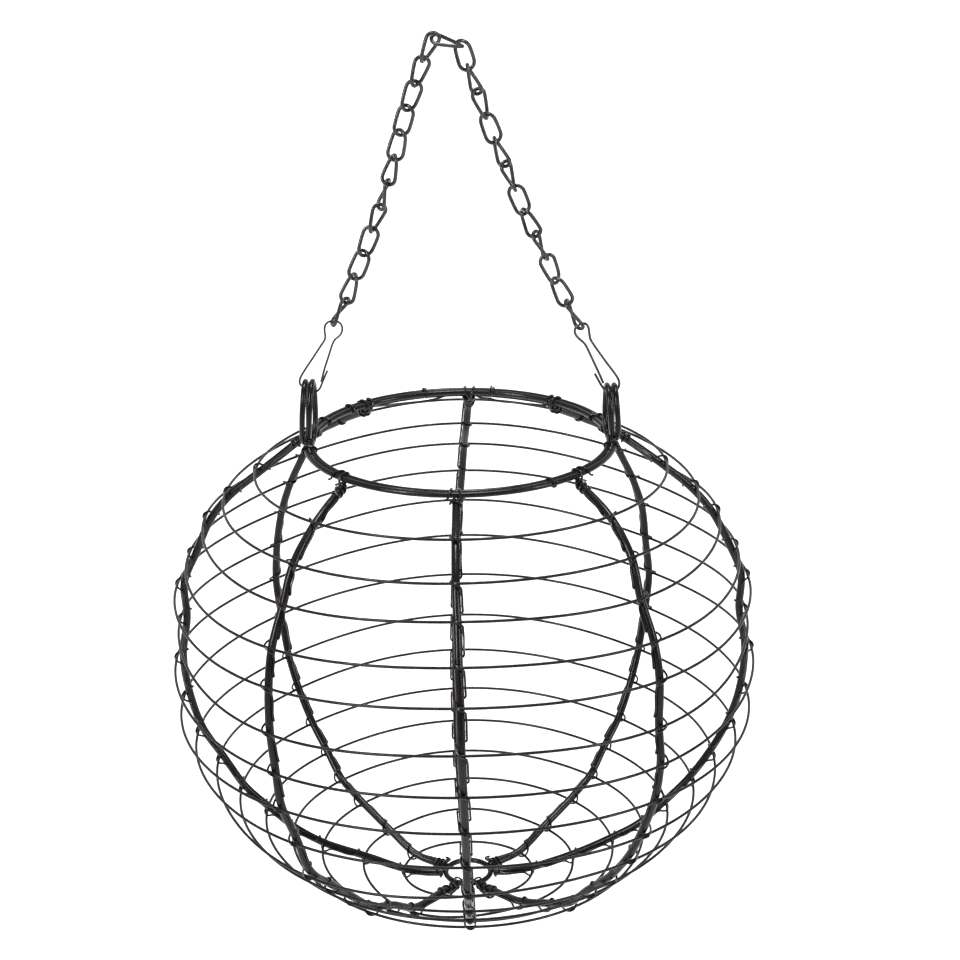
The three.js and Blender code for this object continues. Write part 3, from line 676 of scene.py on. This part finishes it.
# ---------------------------------------------------------------- ties round the two rim rods
def band(solid, angle, turns, hand, seed, tail=2.4, wire=LASH):
    """A short length of tie wire wound round both rods, its two cut ends standing off."""
    rng = np.random.default_rng(seed)
    pts = []
    half, r = RIM_SPACING, RIM_ROD / 2 + wire / 2 + 0.06
    n = int(turns * 12)
    begin = rng.uniform(0, 2 * math.pi)
    pitch = wire * 1.12
    for i in range(n + 1):
        a = begin + i / 12 * 2 * math.pi
        along = hand * (i / 12 - turns / 2) * pitch
        grow = r + (tail * 0.55 if i in (0, n) else 0)
        x = half * max(-1, min(1, 1.6 * math.cos(a))) + grow * math.cos(a)
        z = grow * math.sin(a)
        pts.append(rim_point(angle + along / 74, x, z))
    line = spline(pts, 0.5)
    for _ in range(2):
        line[1:-1] = (line[:-2] + 2 * line[1:-1] + line[2:]) / 4
    solid.wire(line, wire, 8, False, seed, 0.02)


ties = Solid()
for k, (degrees, turns, hand) in enumerate(
    ((131.7, 1.5, 1), (104.4, 1.3, 1), (77.45, 1.4, -1), (49.5, 1.2, -1), (-55.2, 1.1, 1), (156.3, 1.1, 1), (139.2, 1.1, -1), (24.0, 1.1, -1), (170.5, 2.2, 1), (9.5, 2.2, -1), (-170.5, 1.4, 1), (-9.5, 1.4, -1))
):
    band(ties, math.radians(degrees), turns, hand, 500 + k, 1.0)
ties.make("rim_ties", lash_paint, BODY, (), "ring_wire")

# a tie wire strung just under the back of the rim, between the bands
strand = Solid()
for k, run in enumerate(
    (
        ((131.0, 1.9, -2.2), (126.3, 0.4, -2.8), (120, 0.2, -3.6), (114.9, 0, -4.0), (106.5, 0, -4.4), (102, 0, -4.0), (98.3, 0, -3.1), (95.5, 0.6, -2.2)),
        ((84.5, 0.8, -2.2), (82.3, 0, -3.4), (78.2, 0, -3.8), (74.1, 0, -5.0), (67.8, 0, -5.0), (60, 0, -4.4), (53, 0, -3.3), (49.8, 1.2, -2.2)),
    )
):
    strand.wire(spline([rim_point(math.radians(d), r, z) for d, r, z in run], 1.2), LASH, 8, False, 520 + k, 0.02)
strand.make("rim_back_strand", lash_paint, BODY, (), "ring_wire")


# ---------------------------------------------------------------- floor, light, camera
def glowing_floor_paint(name, colour, near_glow=0.0):
    m = bpy.data.materials.new(name)
    m.use_nodes = True
    nt = m.node_tree
    s = nt.nodes["Principled BSDF"]
    s.inputs["Roughness"].default_value = 0.9
    s.inputs["Specular IOR Level"].default_value = 0.1
    n = nt.nodes.new("ShaderNodeTexNoise")
    n.inputs["Scale"].default_value = 3.0
    mix = nt.nodes.new("ShaderNodeMix")
    mix.data_type = "RGBA"
    mix.inputs[6].default_value = (*colour, 1)
    mix.inputs[7].default_value = (*[min(1, c * 1.02) for c in colour], 1)
    nt.links.new(n.outputs["Fac"], mix.inputs["Factor"])
    nt.links.new(mix.outputs[2], s.inputs["Base Color"])
    # painted light: the pale floor also glows white, at half strength under the object and at full strength from two
    # metres back, and this glow lights the object from below
    s.inputs["Emission Color"].default_value = (1, 1, 1, 1)
    where = nt.nodes.new("ShaderNodeTexCoord")
    split = nt.nodes.new("ShaderNodeSeparateXYZ")
    nt.links.new(where.outputs["Object"], split.inputs["Vector"])
    floor_glow_ramp = nt.nodes.new("ShaderNodeMapRange")
    floor_glow_ramp.inputs["From Min"].default_value = 0.0
    floor_glow_ramp.inputs["From Max"].default_value = 2.0
    floor_glow_ramp.inputs["To Min"].default_value = near_glow
    floor_glow_ramp.inputs["To Max"].default_value = FLOOR_GLOW_FAR
    nt.links.new(split.outputs["Y"], floor_glow_ramp.inputs["Value"])
    nt.links.new(floor_glow_ramp.outputs["Result"], s.inputs["Emission Strength"])
    return m


FLOOR_Z = -1.35
mesh = bpy.data.meshes.new("studio_floor")
k = 64
v = [(0, 0, FLOOR_Z)] + [(30 * math.cos(2 * math.pi * i / k), 30 * math.sin(2 * math.pi * i / k), FLOOR_Z) for i in range(k)]
mesh.from_pydata(v, [], [(0, i + 1, (i + 1) % k + 1) for i in range(k)])
floor = bpy.data.objects.new("studio_floor", mesh)
bpy.context.scene.collection.objects.link(floor)
mesh.materials.append(glowing_floor_paint("pale_floor_painted_glow", (0.9, 0.9, 0.9), FLOOR_GLOW_NEAR))

world = bpy.data.worlds.new("studio")
bpy.context.scene.world = world
world.use_nodes = True
wt = world.node_tree
wt.nodes.clear()
wo = wt.nodes.new("ShaderNodeOutputWorld")
bg = wt.nodes.new("ShaderNodeBackground")
wt.links.new(bg.outputs["Background"], wo.inputs["Surface"])
tc = wt.nodes.new("ShaderNodeTexCoord")
sep = wt.nodes.new("ShaderNodeSeparateXYZ")
wt.links.new(tc.outputs["Generated"], sep.inputs["Vector"])
ramp = wt.nodes.new("ShaderNodeMapRange")
# a pale sweep behind the object and a dim room in front of it
ramp.inputs["From Min"].default_value = -0.9
ramp.inputs["From Max"].default_value = 0.7
ramp.inputs["To Min"].default_value = WORLD_FRONT
ramp.inputs["To Max"].default_value = WORLD_BACK
wt.links.new(sep.outputs["Y"], ramp.inputs["Value"])
wt.links.new(ramp.outputs["Result"], bg.inputs["Strength"])
bg.inputs["Color"].default_value = (1, 1, 1, 1)


def softbox(name, place, target, size, power, colour=(1, 1, 1)):
    light = bpy.data.lights.new(name, "AREA")
    light.shape = "RECTANGLE"
    light.size, light.size_y = size
    light.energy = power
    light.color = colour
    o = bpy.data.objects.new(name, light)
    bpy.context.scene.collection.objects.link(o)
    from mathutils import Vector

    o.location = place
    d = Vector(target) - Vector(place)
    o.rotation_euler = d.to_track_quat("-Z", "Y").to_euler()
    return o


for args in LIGHTS:
    softbox(*args)

cam_data = bpy.data.cameras.new("camera")
cam = bpy.data.objects.new("camera", cam_data)
bpy.context.scene.collection.objects.link(cam)
cam_data.sensor_width = 36
cam_data.lens = 86.871
cam_data.clip_start, cam_data.clip_end = 0.05, 200
pitch, roll = math.radians(90 - 21.7745), -0.0146324
cam.matrix_world = Matrix.Translation((0.012146, -1.084616, 0.2086)) @ Matrix.Rotation(pitch, 4, "X") @ Matrix.Rotation(roll, 4, "Z")
bpy.context.scene.camera = cam
bpy.context.scene.view_settings.view_transform = "Standard"
bpy.context.scene.view_settings.look = "None"
bpy.context.scene.view_settings.exposure = 0
bpy.context.scene.view_settings.gamma = 1

bpy.context.view_layer.update()
